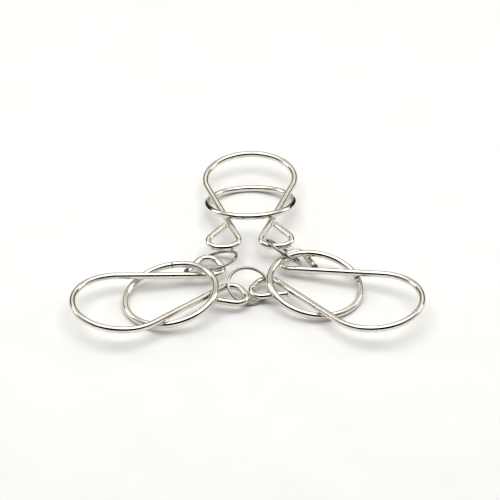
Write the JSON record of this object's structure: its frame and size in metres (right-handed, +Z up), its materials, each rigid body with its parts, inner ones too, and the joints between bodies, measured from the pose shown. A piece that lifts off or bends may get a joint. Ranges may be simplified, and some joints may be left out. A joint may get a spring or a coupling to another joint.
{
  "type": "metal ring disentanglement puzzle",
  "caption": "Metal disentanglement puzzle of wire horseshoes with looped feet joined by thin link rings, each horseshoe with a heavy ring trapped round its legs.",
  "frame": {"origin": "centre of the bounding box's bottom face, on the table that the puzzle lies on", "axes": "+X across the two front horseshoes, +Y towards the back horseshoe's bow, +Z up from the table"},
  "size_m": [0.1568, 0.1435, 0.0145],
  "materials": {
    "horseshoe_wire": "bright nickel plate over drawn wire, with fine handling scratches",
    "ring_wire": "bright nickel plate over drawn wire, with a closed butt seam",
    "link_wire": "nickel plate over thin drawn wire, a little darker than the rest"
  },
  "bodies": {
    "back_horseshoe": {"back_horseshoe": "horseshoe_wire"},
    "left_horseshoe": {"left_horseshoe": "horseshoe_wire"},
    "right_horseshoe": {"right_horseshoe": "horseshoe_wire"},
    "back_ring": {"back_ring": "ring_wire"},
    "left_ring": {"left_ring": "ring_wire"},
    "right_ring": {"right_ring": "ring_wire"},
    "back_left_link": {"back_left_link": "link_wire"},
    "back_right_link": {"back_right_link": "link_wire"},
    "front_link": {"front_link": "link_wire"}
  },
  "joints": [
    {"name": "back_ring_slide", "type": "slide", "parent": "back_horseshoe", "child": "back_ring", "axis": [0.0201, 0.996, -0.0867], "range_m": [-0.014, 0.001]},
    {"name": "left_ring_slide", "type": "slide", "parent": "left_horseshoe", "child": "left_ring", "axis": [-0.8946, -0.446, -0.0262], "range_m": [-0.007, 0.0055]},
    {"name": "right_ring_slide", "type": "slide", "parent": "right_horseshoe", "child": "right_ring", "axis": [0.8153, -0.5765, -0.0538], "range_m": [-0.0035, 0]},
    {"name": "left_horseshoe_lift", "type": "hinge", "parent": "back_horseshoe", "child": "left_horseshoe", "pos_m": [-0.0115, -0.02711, 0.00258], "axis": [-0.67, 0.7035, -0.2371], "range_deg": [0, 11]},
    {"name": "right_horseshoe_lift", "type": "hinge", "parent": "back_horseshoe", "child": "right_horseshoe", "pos_m": [0.012, -0.02038, 0.00695], "axis": [-0.5119, -0.8358, -0.1986], "range_deg": [0, 18]},
    {"name": "front_link_flip", "type": "hinge", "parent": "back_horseshoe", "child": "front_link", "pos_m": [0.004, -0.03637, 0.00547], "axis": [0.7742, 0.471, 0.4227], "range_deg": [0, 55]},
    {"name": "back_left_link_flip", "type": "hinge", "parent": "back_horseshoe", "child": "back_left_link", "pos_m": [-0.01241, -0.01519, 0.0053], "axis": [-0.8823, -0.4394, -0.169], "range_deg": [0, 140]},
    {"name": "back_right_link_flip", "type": "hinge", "parent": "back_horseshoe", "child": "back_right_link", "pos_m": [0.01825, -0.00832, 0.00545], "axis": [0.5445, -0.8387, 0.0082], "range_deg": [-55, 0]}
  ]
}
